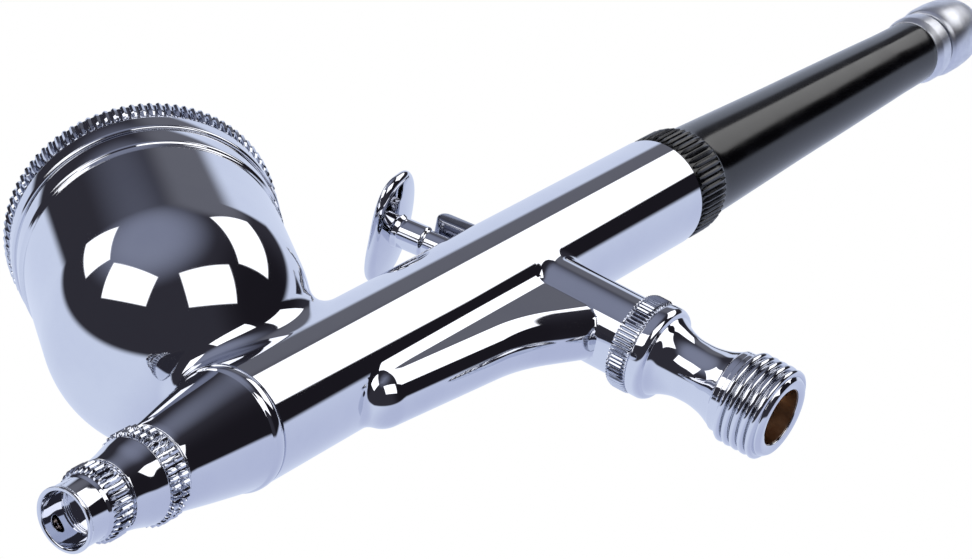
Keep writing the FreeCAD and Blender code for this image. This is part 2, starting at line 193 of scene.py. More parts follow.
@dataclass(frozen=True)
class Coat:
    """Lacquer, rubber or plastic, named for its common name and how its surface was made."""

    name: str
    colour: str
    tint: str
    roughness: float
    haze: float
    coat: float = 0.0
    ior: float = 1.5
    patch_mm: float = 4.0
    grain_mm: float = 0.4
    grain_depth_mm: float = 0.002

    def material(self) -> bpy.types.Material:
        """Build the coating's material: a mottled colour under a gloss with a faint grain.

        Returns:
            The material.
        """
        made = bpy.data.materials.new(self.name)
        made.use_nodes = True
        tree = made.node_tree
        shader = tree.nodes["Principled BSDF"]
        shader.inputs["IOR"].default_value = self.ior
        shader.inputs["Coat Weight"].default_value = self.coat
        shader.inputs["Coat Roughness"].default_value = 0.04
        place = add_node(tree, "ShaderNodeTexCoord").outputs["Object"]
        patches = add_node(tree, "ShaderNodeTexNoise", {"Vector": place, "Scale": 1 / (self.patch_mm * MM),
                                                        "Detail": 3.0})
        tone = two_tone(tree, patches.outputs["Fac"], self.colour, self.tint)
        tree.links.new(tone, shader.inputs["Base Color"])
        gloss = add_node(tree, "ShaderNodeMapRange", {"Value": patches.outputs["Fac"], "From Min": 0.35,
                                                      "From Max": 0.7, "To Min": self.roughness,
                                                      "To Max": self.roughness + self.haze})
        tree.links.new(gloss.outputs["Result"], shader.inputs["Roughness"])
        grain = add_node(tree, "ShaderNodeTexNoise", {"Vector": place, "Scale": 1 / (self.grain_mm * MM)})
        bump = add_node(tree, "ShaderNodeBump", {"Height": grain.outputs["Fac"], "Strength": 1.0,
                                                 "Distance": self.grain_depth_mm * MM})
        tree.links.new(bump.outputs["Normal"], shader.inputs["Normal"])
        return made


class Finish(Enum):
    """The finishes of this airbrush."""

    # Mirror chromium plate over polished brass: a cool mirror, barely hazed where it was wiped.
    CHROME = Metal("bright_chromium_plate", "#E4E6EC", "#DFE1E9", 0.025, 0.035)
    # Chromium plate over turned ridges: a little softer, because the ridges weren't polished.
    CHROME_TURNED = Metal("turned_chromium_plate", "#DDE0E8", "#CFD2DC", 0.07, 0.06, 2.0)
    # Chromium plate over a blasted knob and ring: a soft satin white.
    CHROME_SATIN = Metal("satin_chromium_plate", "#F0F2F7", "#E2E5EE", 0.34, 0.12, 2.0)
    # Nickel plate on the stamped lever, its colour darkened as painted shade for the shadow it sits in
    # behind the stem: a greyer, softer mirror.
    SHADE_DARKENED_NICKEL = Metal("shade_darkened_nickel_plate", "#A9ACB8", "#8D909C", 0.12, 0.08, 3.0)
    # Bare brass left by the drill in the air inlet: warm, with tool marks.
    BRASS = Metal("drilled_brass", "#DCC9B4", "#C0A080", 0.3, 0.15, 1.5, 0.12, 0.002)
    # Ground stainless rod and needle: grey and satin.
    STEEL = Metal("ground_stainless_steel", "#C4C5C8", "#B2B4B9", 0.16, 0.1, 2.0, 0.1, 0.001)
    # Hard-drawn spring wire: darker, drawn lengthwise.
    SPRING = Metal("drawn_spring_wire", "#9C9CA0", "#85858A", 0.25, 0.1, 1.0, 0.1, 0.001)
    # Black lacquer over a turned aluminium handle: deep black under a clear gloss.
    LACQUER = Coat("gloss_black_lacquer", "#040405", "#08080A", 0.12, 0.06, 0.0, 1.5, 5.0, 1.5, 0.0006)
    # Black anodised aluminium collar: black with a metal's dull sheen.
    ANODISED = Coat("black_anodised_aluminium", "#0D0D0F", "#17171A", 0.22, 0.1, 0.0, 1.6, 2.0, 0.2, 0.002)
    # Pressed fluoropolymer packing: milky and waxy.
    PACKING = Coat("pressed_fluoropolymer", "#E4E3DC", "#D6D4CB", 0.4, 0.1, 0.0, 1.38)
    # Moulded nitrile rubber: matt black.
    RUBBER = Coat("moulded_nitrile_rubber", "#121212", "#1D1D1D", 0.55, 0.15, 0.0, 1.5)


class Paintbox:
    """Makes each finish's material once."""

    def __init__(self) -> None:
        """Start with no material made."""
        self._made: dict[Finish, bpy.types.Material] = {}

    def get(self, finish: Finish) -> bpy.types.Material:
        """Return the finish's material, made on first use."""
        if finish not in self._made:
            self._made[finish] = finish.value.material()
        return self._made[finish]


PAINTS = Paintbox()


# ---- outlines -----------------------------------------------------------------------------------------
def smooth_run(points: Sequence[Point], steps: int = 6) -> list[Point]:
    """Pass a smooth curve through points.

    Args:
        points: Points that the curve goes through.
        steps: Straight pieces between two points.

    Returns:
        Points along the curve, ends included.
    """
    known = [np.array(p, float) for p in points]
    known = [2 * known[0] - known[1], *known, 2 * known[-1] - known[-2]]
    run: list[Point] = []
    for a, b, c, d in zip(known, known[1:], known[2:], known[3:]):
        for i in range(steps):
            t = i / steps
            at = 0.5 * (2 * b + (c - a) * t + (2 * a - 5 * b + 4 * c - d) * t ** 2
                        + (3 * b - a - 3 * c + d) * t ** 3)
            run.append((float(at[0]), float(at[1])))
    run.append(tuple(points[-1]))
    return run


def softened(corners: Sequence[Point], radius: float, steps: int = 4) -> list[Point]:
    """Round off the sharp corners of a closed outline.

    Args:
        corners: The outline's corners in order.
        radius: Distance from a corner at which its rounding starts.
        steps: Straight pieces in each rounding.

    Returns:
        The outline with a small curve at each sharp corner that isn't on the axis.
    """
    outline: list[Point] = []
    for i, corner in enumerate(corners):
        at = np.array(corner, float)
        back = np.array(corners[i - 1], float) - at
        ahead = np.array(corners[(i + 1) % len(corners)], float) - at
        sides = np.hypot(*back), np.hypot(*ahead)
        bend = abs(back[0] * ahead[1] - back[1] * ahead[0]) / (sides[0] * sides[1])
        if at[0] < 1e-6 or bend < 0.25:
            outline.append((float(at[0]), float(at[1])))
            continue
        start = at + back / sides[0] * min(radius, 0.4 * sides[0])
        end = at + ahead / sides[1] * min(radius, 0.4 * sides[1])
        for k in range(steps + 1):
            t = k / steps
            there = start * (1 - t) ** 2 + 2 * at * t * (1 - t) + end * t ** 2
            outline.append((float(there[0]), float(there[1])))
    return outline


# ---- mesh makers --------------------------------------------------------------------------------------
def raw_mesh(name: str, points: Sequence, faces: Sequence) -> bpy.types.Mesh:
    """Make a closed mesh whose faces point outwards.

    Args:
        name: The mesh's name.
        points: Places of its vertices.
        faces: Vertex numbers of each face.

    Returns:
        The mesh, with doubles merged.
    """
    mesh = bpy.data.meshes.new(name)
    mesh.from_pydata(points, [], faces)
    work = bmesh.new()
    work.from_mesh(mesh)
    bmesh.ops.remove_doubles(work, verts=work.verts, dist=1e-4)
    bmesh.ops.recalc_face_normals(work, faces=work.faces)
    work.to_mesh(mesh)
    work.free()
    return mesh


def turned(outline: Sequence[Point], soft: float = 0.1, steps: int = TURNED_STEPS) -> bpy.types.Mesh:
    """Turn a closed outline about the Z axis.

    Args:
        outline: (radius, height) corners in order.
        soft: Size of the rounding at sharp corners.
        steps: Flats round the turned piece.

    Returns:
        The turned solid's mesh.
    """
    shape = softened(outline, soft) if soft else list(outline)
    angles = [2 * math.pi * k / steps for k in range(steps)]
    points = [(r * math.cos(a), r * math.sin(a), z) for r, z in shape for a in angles]
    rows = len(shape)
    faces = []
    for i in range(rows):
        below, above = i * steps, (i + 1) % rows * steps
        if shape[i][0] < 1e-6 and shape[(i + 1) % rows][0] < 1e-6:
            continue
        for k in range(steps):
            after = (k + 1) % steps
            faces.append((below + k, below + after, above + after, above + k))
    return raw_mesh("turned", points, faces)


def slab(outline: Sequence[Point], y_low: float, y_high: float, edge: float = 0.15) -> bpy.types.Mesh:
    """Cut a flat plate to an outline in X and Z, with eased edges.

    Args:
        outline: (x, z) corners in order.
        y_low: Where the plate starts.
        y_high: Where it ends.
        edge: Width of the eased edges.

    Returns:
        The plate's mesh.
    """
    count = len(outline)
    points = [(x, y, z) for y in (y_low, y_high) for x, z in outline]
    faces = [tuple(range(count)), tuple(range(count, 2 * count))]
    faces += [(i, (i + 1) % count, count + (i + 1) % count, count + i) for i in range(count)]
    mesh = raw_mesh("slab", points, faces)
    if edge:
        work = bmesh.new()
        work.from_mesh(mesh)
        sharp = [e for e in work.edges if e.calc_face_angle(0) > math.radians(50)]
        bmesh.ops.bevel(work, geom=sharp, offset=edge, segments=3, profile=0.5, affect="EDGES")
        work.to_mesh(mesh)
        work.free()
    return mesh


def disc_arc(centre: Point, radius: float, start: float, end: float, steps: int = 10) -> list[Point]:
    """Points on an arc, with its ends given in degrees from the first axis."""
    turns = [math.radians(start + (end - start) * i / steps) for i in range(steps + 1)]
    return [(centre[0] + radius * math.cos(t), centre[1] + radius * math.sin(t)) for t in turns]


def carve(mesh: bpy.types.Mesh, cutters: Sequence[tuple[bpy.types.Mesh, Matrix]]) -> bpy.types.Mesh:
    """Take solids away from a solid.

    Args:
        mesh: Closed mesh to carve.
        cutters: Closed meshes, each with its place.

    Returns:
        The carved mesh.
    """
    scene = bpy.context.scene.collection
    stock = bpy.data.objects.new("stock", mesh)
    scene.objects.link(stock)
    tools = []
    for cutter, place in cutters:
        tool = bpy.data.objects.new("tool", cutter)
        tool.data.transform(place)
        scene.objects.link(tool)
        step = stock.modifiers.new("cut", "BOOLEAN")
        step.operation = "DIFFERENCE"
        step.solver = "MANIFOLD"
        step.object = tool
        tools.append(tool)
    result = bpy.data.meshes.new_from_object(stock.evaluated_get(bpy.context.evaluated_depsgraph_get()))
    for used in (*tools, stock):
        bpy.data.objects.remove(used)
    return result


class Piece:
    """One shown piece, joined from mesh parts in millimetres."""

    def __init__(self, name: str, body: str, nodes: Sequence[str], slot: str) -> None:
        """Start an empty piece.

        Args:
            name: The piece's name.
            body: CAD body that it rides on.
            nodes: CAD nodes that it stands for.
            slot: The record's material slot; not used.
        """
        self.name, self.body, self.nodes, self.slot = name, body, nodes, slot
        self._work = bmesh.new()
        self._finishes: list[Finish] = []

    def add(self, mesh: bpy.types.Mesh, finish: Finish, place: Matrix = Matrix()) -> None:
        """Join one part to the piece.

        Args:
            mesh: The part's mesh.
            finish: What it is finished in.
            place: Where it goes.
        """
        if finish not in self._finishes:
            self._finishes.append(finish)
        mesh.transform(place)
        before = len(self._work.faces)
        self._work.from_mesh(mesh)
        self._work.faces.ensure_lookup_table()
        for i in range(before, len(self._work.faces)):
            self._work.faces[i].material_index = self._finishes.index(finish)
            self._work.faces[i].smooth = True

    def done(self, crease: float = 38.0, field: Field | None = None) -> bpy.types.Object:
        """Make the piece's object, in metres, hang it on its body's empty and hide the frame's nodes that it
        stands for.

        Args:
            crease: Angle in degrees past which an edge stays sharp.
            field: Distance field whose exact slope gives the shading of the faces that lie on it.

        Returns:
            The finished object.
        """
        mesh = bpy.data.meshes.new(self.name)
        self._work.to_mesh(mesh)
        self._work.free()
        mesh.set_sharp_from_angle(angle=math.radians(crease))
        if field:
            shade_from_field(mesh, field)
        mesh.transform(Matrix.Scale(MM, 4))
        for finish in self._finishes:
            mesh.materials.append(PAINTS.get(finish))
        shown = bpy.data.objects.new(self.name, mesh)
        bpy.context.scene.collection.objects.link(shown)
        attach(shown, self.body)
        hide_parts(*self.nodes)
        LOG.info("%s: %d faces, rides on %s", self.name, len(mesh.polygons), self.body)
        return shown


# ---- distance fields ----------------------------------------------------------------------------------
def slope(field: Field, points: np.ndarray, step: float = 0.01) -> np.ndarray:
    """Return the field's slope at each point, by central differences."""
    shifts = np.eye(3) * step
    return np.stack([(field(points + s) - field(points - s)) / (2 * step) for s in shifts], axis=1)


def settle(field: Field, points: np.ndarray, rounds: int = 4) -> np.ndarray:
    """Move points along the field's slope until they lie on its surface.

    Args:
        field: Distance field in millimetres, negative inside.
        points: Points near the surface, in millimetres.
        rounds: How many Newton steps are taken.

    Returns:
        The points, moved to where the field is nought.
    """
    for _ in range(rounds):
        ways = slope(field, points)
        points = points - (field(points) / np.maximum((ways ** 2).sum(1), 0.05))[:, None] * ways
    return points


def filleted(a: np.ndarray, b: np.ndarray, radius: float) -> np.ndarray:
    """Join two distance fields with a round fillet of the given radius."""
    corner = np.hypot(np.maximum(radius - a, 0), np.maximum(radius - b, 0))
    return np.maximum(radius, np.minimum(a, b)) - corner


def net(field: Field, low: Sequence[float], high: Sequence[float], step: float) -> bpy.types.Mesh:
    """Wrap a field's surface in four-sided faces of nearly one size.

    Args:
        field: Distance field, negative inside.
        low: Lowest corner of the space that is searched.
        high: Its highest corner.
        step: Size of a face.

    Returns:
        The surface's closed mesh, with its points exactly on the field.
    """
    axes = [np.arange(a, b + step, step) for a, b in zip(low, high)]
    grid = np.stack(np.meshgrid(*axes, indexing="ij"), -1).reshape(-1, 3)
    inside = (field(grid) < 0).reshape([len(a) for a in axes])
    size = [n - 1 for n in inside.shape]
    corners = [inside[i:i + size[0], j:j + size[1], k:k + size[2]]
               for i in (0, 1) for j in (0, 1) for k in (0, 1)]
    total = sum(c.astype(np.int8) for c in corners)
    mixed = (total > 0) & (total < 8)
    number = np.full(mixed.shape, -1)
    number[mixed] = np.arange(mixed.sum())
    points = np.array(low) + (np.argwhere(mixed) + 0.5) * step
    faces = []
    for axis in range(3):
        u, v = (axis + 1) % 3, (axis + 2) % 3
        first, second = [slice(1, -1)] * 3, [slice(1, -1)] * 3
        first[axis], second[axis] = slice(0, -1), slice(1, None)
        change = inside[tuple(first)].astype(np.int8) - inside[tuple(second)].astype(np.int8)
        cells = np.argwhere(change != 0)
        out = change[change != 0] > 0
        cells[:, u] += 1
        cells[:, v] += 1
        around = []
        for du, dv in ((1, 1), (0, 1), (0, 0), (1, 0)):
            cell = cells.copy()
            cell[:, u] -= du
            cell[:, v] -= dv
            around.append(number[tuple(cell.T)])
        quads = np.stack(around, 1)
        quads[~out] = quads[~out][:, ::-1]
        faces.append(quads)
    quads = np.concatenate(faces)
    points = relax(settle(field, points), quads, field)
    mesh = bpy.data.meshes.new("net")
    mesh.from_pydata(points.tolist(), [], quads.tolist())
    return mesh


def relax(points: np.ndarray, quads: np.ndarray, field: Field, rounds: int = 3) -> np.ndarray:
    """Even out the spacing of a net's points without leaving the surface.

    Args:
        points: Vertices of the skin.
        quads: Vertex numbers of its faces.
        field: Distance field in millimetres, negative inside.
        rounds: How many times the points are evened.

    Returns:
        The evened points, on the surface.
    """
    pairs = np.concatenate([quads[:, [i, (i + 1) % 4]] for i in range(4)])
    pairs = np.concatenate([pairs, pairs[:, ::-1]])
    for _ in range(rounds):
        total = np.zeros_like(points)
        np.add.at(total, pairs[:, 0], points[pairs[:, 1]])
        count = np.bincount(pairs[:, 0], minlength=len(points))[:, None]
        points = settle(field, 0.5 * points + 0.5 * total / count, 2)
    return points


def shade_from_field(mesh: bpy.types.Mesh, field: Field) -> None:
    """Give the faces that lie on a field's surface the field's own normals, so that they mirror cleanly.

    Args:
        mesh: Skin to shade.
        field: Distance field in millimetres, negative inside.
    """
    corner = np.empty(len(mesh.loops) * 3, np.float32)
    mesh.corner_normals.foreach_get("vector", corner)
    corner = corner.reshape(-1, 3)
    places = np.empty(len(mesh.vertices) * 3, np.float32)
    mesh.vertices.foreach_get("co", places)
    places = places.reshape(-1, 3).astype(float)
    ways = slope(field, places)
    ways /= np.maximum(np.linalg.norm(ways, axis=1), 1e-6)[:, None]
    on_it = np.abs(field(places)) < 0.02
    vertex = np.empty(len(mesh.loops), np.int32)
    mesh.loops.foreach_get("vertex_index", vertex)
    flat = np.empty(len(mesh.polygons) * 3, np.float32)
    mesh.polygons.foreach_get("normal", flat)
    sides = np.empty(len(mesh.polygons), np.int32)
    mesh.polygons.foreach_get("loop_total", sides)
    face = np.repeat(flat.reshape(-1, 3), sides, axis=0)
    use = on_it[vertex] & ((face * ways[vertex]).sum(1) > 0.93)
    corner[use] = ways[vertex][use]
    mesh.normals_split_custom_set(corner.tolist())


# ---- geometry node trees ------------------------------------------------------------------------------
def new_tree(name: str, sizes: Mapping[str, tuple[str, float]]) -> tuple[bpy.types.NodeTree, bpy.types.Node]:
    """Start a tree of geometry nodes with named inputs.

    Args:
        name: The tree's name.
        sizes: Input name to its kind of number and default.

    Returns:
        The tree and its input node.
    """
    tree = bpy.data.node_groups.new(name, "GeometryNodeTree")
    for size, (kind, default) in sizes.items():
        tree.interface.new_socket(size, in_out="INPUT", socket_type=kind).default_value = default
    tree.interface.new_socket("Finish", in_out="INPUT", socket_type="NodeSocketMaterial")
    tree.interface.new_socket("Geometry", in_out="OUTPUT", socket_type="NodeSocketGeometry")
    return tree, tree.nodes.new("NodeGroupInput")


def close_tree(tree: bpy.types.NodeTree, given: bpy.types.Node, shape: bpy.types.NodeSocket) -> None:
    """End a tree in Realize Instances and Set Material.

    Args:
        tree: Tree to finish.
        given: Its input node.
        shape: Geometry that the tree has made.
    """
    real = add_node(tree, "GeometryNodeRealizeInstances", {"Geometry": shape})
    dressed = add_node(tree, "GeometryNodeSetMaterial", {"Geometry": real.outputs[0],
                                                         "Material": given.outputs["Finish"]})
    add_node(tree, "NodeGroupOutput", {"Geometry": dressed.outputs[0]})


def run_tree(tree: bpy.types.NodeTree, sizes: Mapping[str, float], finish: Finish) -> bpy.types.Mesh:
    """Evaluate a tree once.

    Args:
        tree: Tree of geometry nodes.
        sizes: Values of its named inputs.
        finish: The material that it sets.

    Returns:
        A plain mesh.
    """
    holder = bpy.data.objects.new("holder", bpy.data.meshes.new("holder"))
    bpy.context.scene.collection.objects.link(holder)
    modifier = holder.modifiers.new("tree", "NODES")
    modifier.node_group = tree
    values = {**sizes, "Finish": PAINTS.get(finish)}
    for item in tree.interface.items_tree:
        if item.in_out == "INPUT" and item.name in values:
            modifier[item.identifier] = values[item.name]
    mesh = bpy.data.meshes.new_from_object(holder.evaluated_get(bpy.context.evaluated_depsgraph_get()))
    holder.modifiers.remove(modifier)
    bpy.data.objects.remove(holder)
    mesh.materials.clear()
    return mesh


def eased_ends(tree: bpy.types.NodeTree, size: bpy.types.NodeSocket, power: float,
               drop: float) -> bpy.types.NodeSocket:
    """Return a size that falls away near both ends of a curve.

    Args:
        tree: The curve's tree.
        size: Full size, in the curve's middle.
        power: How late the fall starts.
        drop: Share of the size that is lost at the very ends.

    Returns:
        Socket with the eased factor.
    """
    along = add_node(tree, "GeometryNodeSplineParameter").outputs["Factor"]
    twice = add_node(tree, "ShaderNodeMath", {0: along, 1: 2.0}, operation="MULTIPLY").outputs[0]
    off = add_node(tree, "ShaderNodeMath", {0: twice, 1: 1.0}, operation="SUBTRACT").outputs[0]
    far = add_node(tree, "ShaderNodeMath", {0: off}, operation="ABSOLUTE").outputs[0]
    steep = add_node(tree, "ShaderNodeMath", {0: far, 1: power}, operation="POWER").outputs[0]
    lost = add_node(tree, "ShaderNodeMath", {0: steep, 1: drop}, operation="MULTIPLY").outputs[0]
    kept = add_node(tree, "ShaderNodeMath", {0: 1.0, 1: lost}, operation="SUBTRACT").outputs[0]
    return add_node(tree, "ShaderNodeMath", {0: size, 1: kept}, operation="MULTIPLY").outputs[0]


def knurl_tree() -> bpy.types.NodeTree:
    """Build the tree of a straight knurl: a ring of upright ridges with eased ends.

    Returns:
        The tree.
    """
    number, length = "NodeSocketInt", "NodeSocketFloat"
    tree, given = new_tree("straight_knurl", {"Count": (number, 48), "Ring Radius": (length, 5.0),
                                              "Length": (length, 2.0), "Half Width": (length, 0.2),
                                              "Height Share": (length, 1.0)})
    ring = add_node(tree, "GeometryNodeMeshCircle", {"Vertices": given.outputs["Count"],
                                                     "Radius": given.outputs["Ring Radius"]})
    top = add_node(tree, "ShaderNodeCombineXYZ", {"Z": given.outputs["Length"]})
    line = add_node(tree, "GeometryNodeCurvePrimitiveLine", {"End": top.outputs[0]})
    spaced = add_node(tree, "GeometryNodeResampleCurve", {"Curve": line.outputs[0], "Count": 7})
    profile = add_node(tree, "GeometryNodeCurvePrimitiveCircle", {"Resolution": 8, "Radius": 1.0})
    width = eased_ends(tree, given.outputs["Half Width"], 8.0, 0.5)
    ridge = add_node(tree, "GeometryNodeCurveToMesh", {"Curve": spaced.outputs[0],
                                                       "Profile Curve": profile.outputs[0],
                                                       "Scale": width, "Fill Caps": True})
    share = add_node(tree, "ShaderNodeMath", {0: 2 * math.pi, 1: given.outputs["Count"]}, operation="DIVIDE")
    place = add_node(tree, "GeometryNodeInputIndex").outputs[0]
    angle = add_node(tree, "ShaderNodeMath", {0: place, 1: share.outputs[0]}, operation="MULTIPLY")
    turn = add_node(tree, "ShaderNodeCombineXYZ", {"Z": angle.outputs[0]})
    squash = add_node(tree, "ShaderNodeCombineXYZ", {"X": given.outputs["Height Share"], "Y": 1.0, "Z": 1.0})
    ridges = add_node(tree, "GeometryNodeInstanceOnPoints", {"Points": ring.outputs[0],
                                                             "Instance": ridge.outputs[0],
                                                             "Rotation": turn.outputs[0],
                                                             "Scale": squash.outputs[0]})
    close_tree(tree, given, ridges.outputs[0])
    return tree


def thread_tree() -> bpy.types.NodeTree:
    """Build the tree of a screw thread: one round crest wound in a helix that fades at both ends.

    Returns:
        The tree.
    """
    length = "NodeSocketFloat"
    tree, given = new_tree("round_thread", {"Pitch": (length, 0.907), "Turns": (length, 5.0),
                                            "Radius": (length, 4.5), "Crest": (length, 0.36)})
    rise = add_node(tree, "ShaderNodeMath", {0: given.outputs["Pitch"], 1: given.outputs["Turns"]},
                    operation="MULTIPLY")
    helix = add_node(tree, "GeometryNodeCurveSpiral", {"Resolution": 96, "Rotations": given.outputs["Turns"],
                                                       "Start Radius": given.outputs["Radius"],
                                                       "End Radius": given.outputs["Radius"],
                                                       "Height": rise.outputs[0]})
    profile = add_node(tree, "GeometryNodeCurvePrimitiveCircle", {"Resolution": 10, "Radius": 1.0})
    width = eased_ends(tree, given.outputs["Crest"], 24.0, 0.8)
    crest = add_node(tree, "GeometryNodeCurveToMesh", {"Curve": helix.outputs[0],
                                                       "Profile Curve": profile.outputs[0],
                                                       "Scale": width, "Fill Caps": True})
    close_tree(tree, given, crest.outputs[0])
    return tree


KNURL = knurl_tree()
THREAD = thread_tree()


def knurl(count: int, inner: float, outer: float, start: float, length: float, finish: Finish,
          width_share: float = 0.46) -> bpy.types.Mesh:
    """Make a ring of ridges about the Z axis.

    Args:
        count: Number of ridges.
        inner: Radius of the land that they stand on.
        outer: Radius over the ridges.
        start: Height at which they start.
        length: Their length.
        finish: Their material.
        width_share: Half a ridge's width, as a share of the ridges' spacing.

    Returns:
        The ridges' mesh.
    """
    half = 2 * math.pi * inner / count * width_share
    sizes = {"Count": count, "Ring Radius": inner, "Length": length, "Half Width": half,
             "Height Share": (outer - inner) / half}
    mesh = run_tree(KNURL, sizes, finish)
    mesh.transform(Matrix.Translation((0, 0, start)))
    return mesh


# ---- barrel, bridge, boss and cup ---------------------------------------------------------------------
@dataclass
class BarrelAndCup:
    """Barrel, valve boss, air bridge and cup, brazed together and plated as one."""

    barrel_r: float = 6.0
    boss_r: float = 4.23
    boss_end: float = 17.6
    bridge_r: float = 3.0
    nose: Point = (-28.6, -5.6)
    knee: Point = (-10.2, -7.4)
    elbow: Point = (-0.6, -11.8)
    bend_r: float = 23.0
    cup_r: float = 12.85
    cup_centre: float = 19.1
    wall: float = 0.6
    bead_r: float = 13.15
    bridge_fillet: float = 0.7
    boss_fillet: float = 0.7
    cup_fillet: float = 2.2
    chamber_r: float = 4.2
    slot: tuple[float, float] = (-13.5, 12.2)
    slot_half: float = 2.3
    drain: tuple[float, float] = (-36.0, -31.5)
    drain_r: float = 1.6
    face: float = 0.36

    def _bridge_line(self, x: np.ndarray, z: np.ndarray) -> np.ndarray:
        """Return the distance in the upright plane to the bridge's bent centre line.

        Args:
            x: Places along the barrel.
            z: Heights over the barrel's axis.

        Returns:
            Distances in millimetres.
        """
        nose, knee, elbow = (np.array(p) for p in (self.nose, self.knee, self.elbow))
        ahead = (nose - knee) / np.hypot(*(nose - knee))
        behind = (elbow - knee) / np.hypot(*(elbow - knee))
        half = (math.pi - math.acos(float(ahead @ behind))) / 2
        trim = self.bend_r * math.tan(half)
        centre = knee + (ahead + behind) / np.hypot(*(ahead + behind)) * self.bend_r / math.cos(half)
        best = np.full(x.shape, np.inf)
        for start, end in ((nose, knee + ahead * trim), (knee + behind * trim, elbow)):
            way = end - start
            t = np.clip(((x - start[0]) * way[0] + (z - start[1]) * way[1]) / (way @ way), 0, 1)
            best = np.minimum(best, np.hypot(x - start[0] - t * way[0], z - start[1] - t * way[1]))
        to_knee = (knee - centre) / np.hypot(*(knee - centre))
        out = np.hypot(x - centre[0], z - centre[1])
        facing = ((x - centre[0]) * to_knee[0] + (z - centre[1]) * to_knee[1]) / np.maximum(out, 1e-6)
        on_arc = facing > math.cos(half)
        return np.where(on_arc, np.minimum(best, np.abs(out - self.bend_r)), best)

    def _bridge(self, x: np.ndarray, y: np.ndarray, z: np.ndarray) -> np.ndarray:
        """Return the distance to the bridge: a round rib under a web as wide as the rib.

        Args:
            x: Places along the barrel.
            y: Places across it.
            z: Heights over its axis.

        Returns:
            Distances in millimetres, negative inside.
        """
        tube = np.hypot(self._bridge_line(x, z), y) - self.bridge_r
        round_front = np.hypot(np.minimum(x - self.nose[0], 0), y) - self.bridge_r
        under = []
        for start, end in ((self.nose, self.knee), (self.knee, self.elbow)):
            run, rise = end[0] - start[0], end[1] - start[1]
            under.append((start[1] + (x - start[0]) * rise / run - z) * run / math.hypot(run, rise))
        web = np.maximum.reduce([round_front, np.minimum(*under), x, z])
        return np.minimum(tube, web)

    def _cup(self, x: np.ndarray, y: np.ndarray, z: np.ndarray) -> np.ndarray:
        """Return the distance to the outside of the cup.

        Args:
            x: Places along the barrel.
            y: Places across it.
            z: Heights over its axis.

        Returns:
            Distances in millimetres, negative inside.
        """
        sine, cosine = math.sin(CUP_LEAN), math.cos(CUP_LEAN)
        dx = x - CUP_AXIS.translation.x
        along = dx * sine + z * cosine
        out = np.hypot(dx * cosine - z * sine, y)
        return np.hypot(out, np.minimum(along - self.cup_centre, 0)) - self.cup_r

    def distance(self, points: np.ndarray) -> np.ndarray:
        """Return the distance from points in millimetres to the plated outside, negative inside.

        Args:
            points: Rows of x, y and z in millimetres.

        Returns:
            One distance for each row.
        """
        x, y, z = points[:, 0], points[:, 1], points[:, 2] - AXIS_Z
        barrel = np.hypot(y, z) - self.barrel_r
        barrel = np.maximum.reduce([barrel, x - BARREL_REAR - 1, BARREL_FRONT - 1.5 - x])
        boss = np.maximum(np.hypot(x, y) - self.boss_r, z)
        boss = np.maximum(boss, self.boss_end - 1 - AXIS_Z - z)
        body = np.minimum(filleted(barrel, self._bridge(x, y, z), self.bridge_fillet),
                          filleted(barrel, boss, self.boss_fillet))
        cup = np.maximum(self._cup(x, y, z), self._along_cup(x, z) - CUP_RIM - 1)
        return filleted(body, cup, self.cup_fillet)

    @staticmethod
    def _along_cup(x: np.ndarray, z: np.ndarray) -> np.ndarray:
        """Return how far up the cup's axis each point is."""
        return (x - CUP_AXIS.translation.x) * math.sin(CUP_LEAN) + z * math.cos(CUP_LEAN)

    def _cutters(self) -> list[tuple[bpy.types.Mesh, Matrix]]:
        """Return the solids that hollow the body out and trim its ends.

        Returns:
            Meshes with their places.
        """
        socket = [(0, -60), (6.16, -60), (6.16, BARREL_FRONT), (4.6, BARREL_FRONT), (4.6, -38), (2, -38),
                  (2, -11.9), (0, -11.9)]
        chamber = [(0, -12), (self.chamber_r, -12), (self.chamber_r, BARREL_REAR), (9, BARREL_REAR),
                   (9, 40), (0, 40)]
        inner = self.cup_r - self.wall
        bowl = [(r, self.cup_centre + z) for r, z in disc_arc((0, 0), inner, -90, 0, 32)]
        bowl = [(max(r, 0.0), z) for r, z in bowl] + [(inner, CUP_RIM), (16, CUP_RIM), (16, 46), (0, 46)]
        boss = [(0, 5), (7, 5), (7, self.boss_end), (0, self.boss_end)]
        low, high = self.slot
        slot = slab([(low, AXIS_Z + 1), (high, AXIS_Z + 1), (high, AXIS_Z + 8), (low, AXIS_Z + 8)],
                    -self.slot_half, self.slot_half, 0)
        first, last = self.drain
        ends = [(x, y) for x, y in disc_arc((first, 0), self.drain_r, 90, 270, 16)]
        ends += [(x, y) for x, y in disc_arc((last, 0), self.drain_r, -90, 90, 16)]
        drain = slab(ends, -9, 0, 0)
        upright = Matrix.Translation((0, 0, AXIS_Z)) @ Matrix.Rotation(-math.pi / 2, 4, "X")
        return [(turned(socket, 0), BARREL_AXIS), (turned(chamber, 0), BARREL_AXIS),
                (turned(bowl, 0), CUP_AXIS), (turned(boss, 0), Matrix()), (slot, Matrix()), (drain, upright)]

    def build(self) -> None:
        """Build the piece."""
        skin = net(self.distance, (-49, -14.2, 16), (29.5, 14.2, AXIS_Z + 37), self.face)
        piece = Piece("barrel_and_cup", "airframe", ["main_body", "paint_cup"], "chrome_plate")
        piece.add(carve(skin, self._cutters()), Finish.CHROME)
        inner = self.cup_r - self.wall + 0.04
        rim = [(inner, 29.2), (self.cup_r + 0.02, 29.2), (self.cup_r + 0.08, 29.75), (self.bead_r, 29.95),
               (self.bead_r, CUP_RIM), (inner, CUP_RIM)]
        piece.add(turned(rim, 0.16), Finish.CHROME, CUP_AXIS)
        piece.done(35, self.distance)


